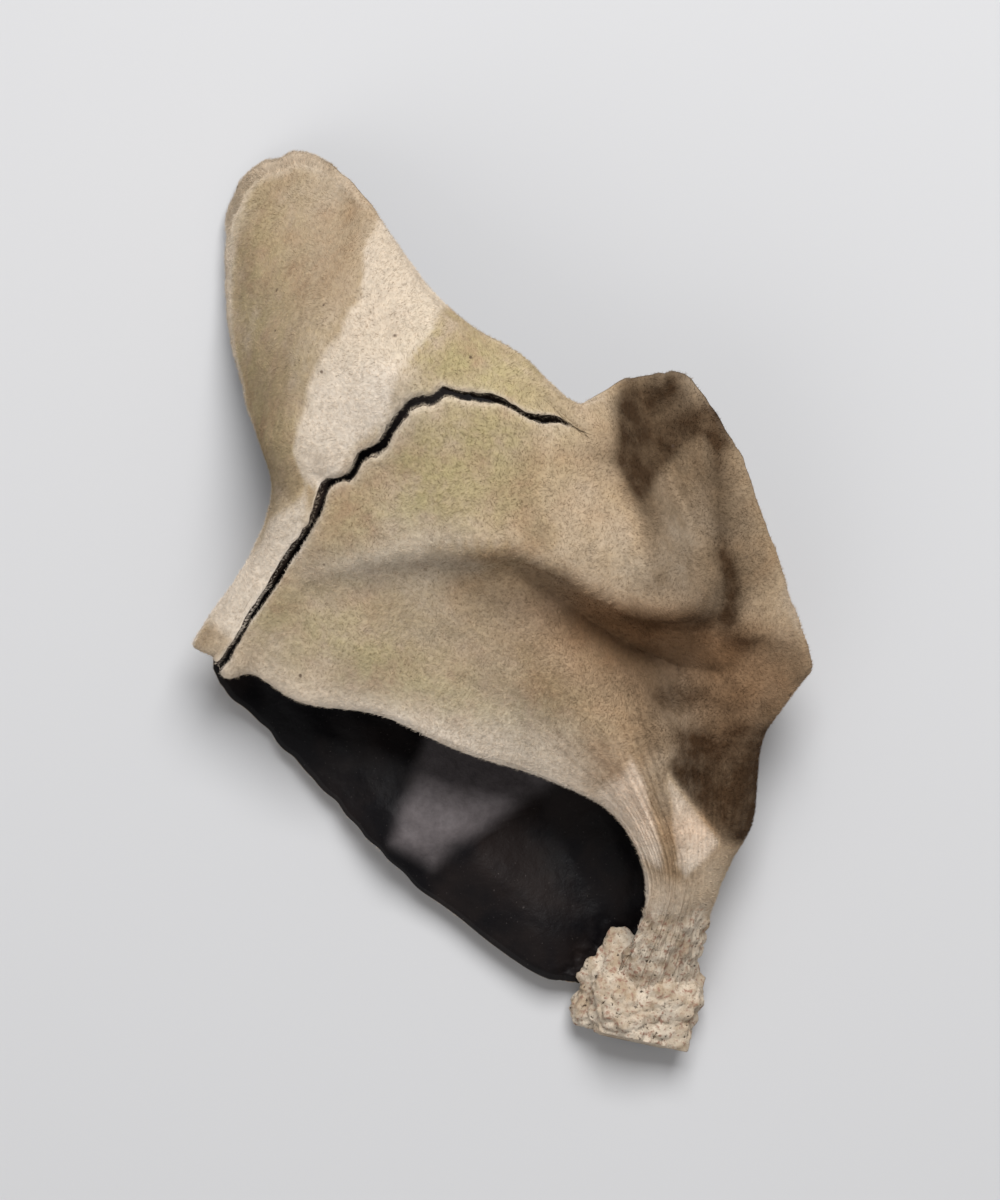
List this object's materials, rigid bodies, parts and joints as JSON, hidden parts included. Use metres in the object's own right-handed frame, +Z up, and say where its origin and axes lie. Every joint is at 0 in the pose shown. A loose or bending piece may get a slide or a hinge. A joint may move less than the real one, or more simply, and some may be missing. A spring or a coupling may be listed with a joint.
{
  "type": "dried wood ear mushroom",
  "caption": "One dried wood ear: a leathery fan folded over on itself, felted outside and dark inside, with a torn hump and a short cut stub.",
  "frame": {"origin": "middle of the bounding box's base, on the surface that the ear lies on", "axes": "+Y from the stub's end towards the far lobe, +X towards the folded side, +Z up from the surface"},
  "size_m": [0.0414, 0.0606, 0.0174],
  "materials": {
    "felted_flesh": "matt, felted outside and satin black inside"
  },
  "bodies": {
    "root": {"wood_ear": "felted_flesh"}
  },
  "joints": []
}
